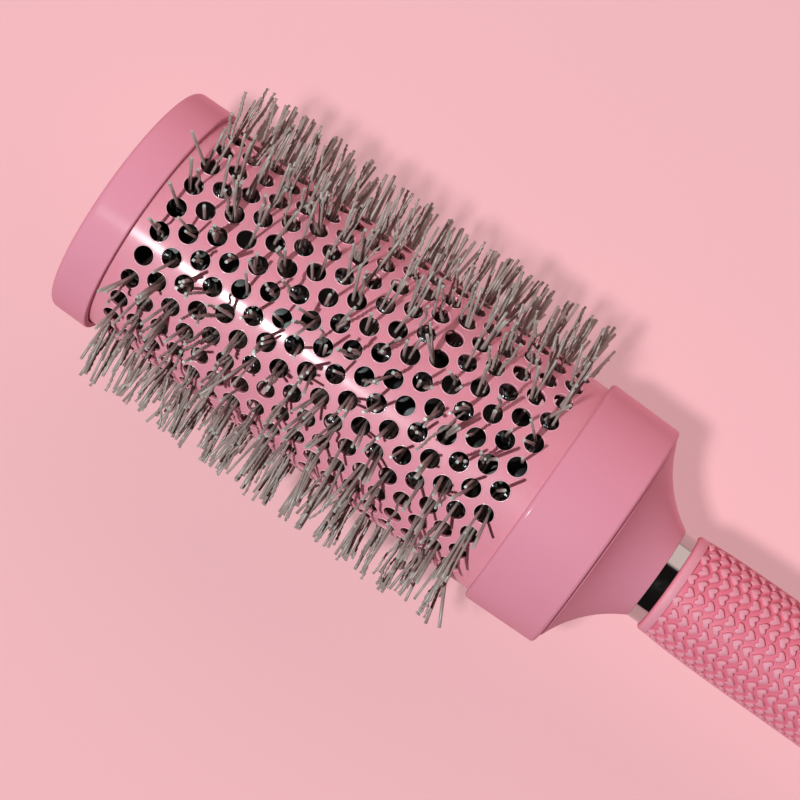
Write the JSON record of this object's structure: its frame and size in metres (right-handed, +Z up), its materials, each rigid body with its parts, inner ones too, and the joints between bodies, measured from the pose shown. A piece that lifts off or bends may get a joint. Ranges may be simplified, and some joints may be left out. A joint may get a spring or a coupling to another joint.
{
  "type": "round barrel brush",
  "caption": "Round hair brush: perforated metal barrel with wire-held bristles, domed cap, flared neck and soft patterned grip.",
  "frame": {"origin": "on the brush's axis, midway between the cap's front and the handle's end", "axes": "+X along the brush's axis from the cap to the handle, +Z up as the brush lies on a table, +Y completes the right-handed frame"},
  "size_m": [0.26, 0.075, 0.075],
  "materials": {
    "barrel": "gloss pink lacquer on aluminium",
    "moulding": "satin-gloss pink lacquer on ABS",
    "soft_grip": "matt pink silicone with raised hearts",
    "chrome_ring": "polished chrome plate",
    "bristle": "taupe nylon filament",
    "wire": "drawn steel wire",
    "black_plastic": "black moulded plastic",
    "handle_plastic": "pink moulded plastic",
    "brass_insert": "turned"
  },
  "bodies": {
    "root": {"front_cap": "moulding", "barrel": "barrel", "front_disc": "black_plastic", "rear_disc": "black_plastic", "core": "black_plastic", "stem_wire_1": "wire", "stem_wire_2": "wire", "stem_wire_3": "wire", "stem_wire_4": "wire", "stem_wire_5": "wire", "stem_wire_6": "wire", "stem_wire_7": "wire", "stem_wire_8": "wire", "stem_wire_9": "wire", "bristle_strip_1": "bristle", "bristle_strip_2": "bristle", "bristle_strip_3": "bristle", "bristle_strip_4": "bristle", "bristle_strip_5": "bristle", "bristle_strip_6": "bristle", "bristle_strip_7": "bristle", "bristle_strip_8": "bristle", "bristle_strip_9": "bristle", "tie_rod": "wire", "tie_washer": "wire", "tie_nut": "wire", "collar_ring": "moulding", "bell": "moulding", "ferrule": "chrome_ring", "handle_insert": "brass_insert", "handle_core": "handle_plastic", "grip_sleeve": "soft_grip", "tail_cap": "moulding"}
  },
  "joints": []
}
